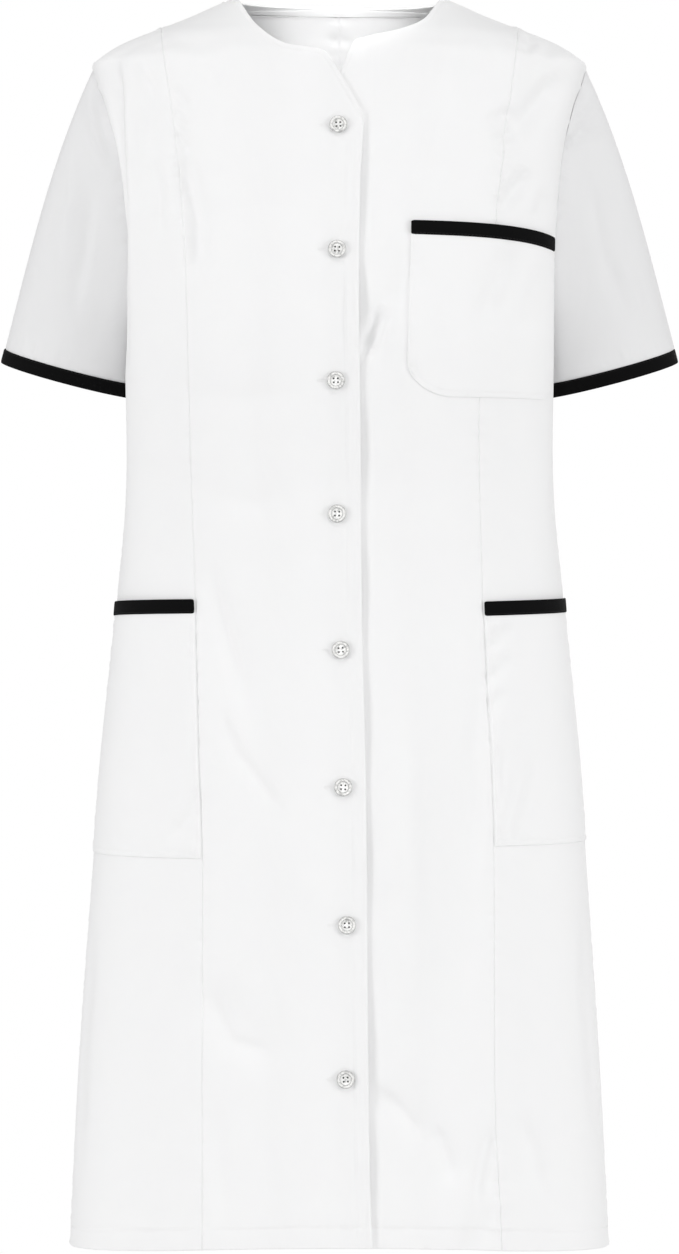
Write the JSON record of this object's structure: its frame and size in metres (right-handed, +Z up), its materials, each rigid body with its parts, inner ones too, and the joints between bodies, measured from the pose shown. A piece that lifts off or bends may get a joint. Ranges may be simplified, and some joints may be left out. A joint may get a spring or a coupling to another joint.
{
  "type": "nurse uniform dress",
  "caption": "Knee-length short-sleeved uniform dress, buttoned down the front, with a notched round neck, a chest pocket, hip pockets and dark bound edges.",
  "frame": {"origin": "midway between the two shoulder seams, at their middle height, where the dress rests on a wearer's or a hanger's shoulders", "axes": "+Z up along the dress from hem to neck, -Y out of the buttoned front, +X to the wearer's left"},
  "size_m": [0.5776, 0.3065, 1.0589],
  "materials": {
    "white_cloth": "matt white polyester-cotton workwear weave",
    "black_binding": "matt black woven binding",
    "pearl_button": "glossy white pearl polyester"
  },
  "bodies": {
    "root": {"front_right": "white_cloth", "front_left": "white_cloth", "side_front_right": "white_cloth", "side_front_left": "white_cloth", "back_right": "white_cloth", "back_left": "white_cloth", "sleeve_right": "white_cloth", "sleeve_left": "white_cloth", "chest_pocket": "white_cloth", "side_pocket_right": "white_cloth", "side_pocket_left": "white_cloth", "neck_facing": "white_cloth", "cuff_binding_right": "black_binding", "cuff_binding_left": "black_binding", "chest_pocket_binding": "black_binding", "side_pocket_binding_right": "black_binding", "side_pocket_binding_left": "black_binding", "button_1": "pearl_button", "button_2": "pearl_button", "button_3": "pearl_button", "button_4": "pearl_button", "button_5": "pearl_button", "button_6": "pearl_button", "button_7": "pearl_button", "button_8": "pearl_button"}
  },
  "joints": []
}
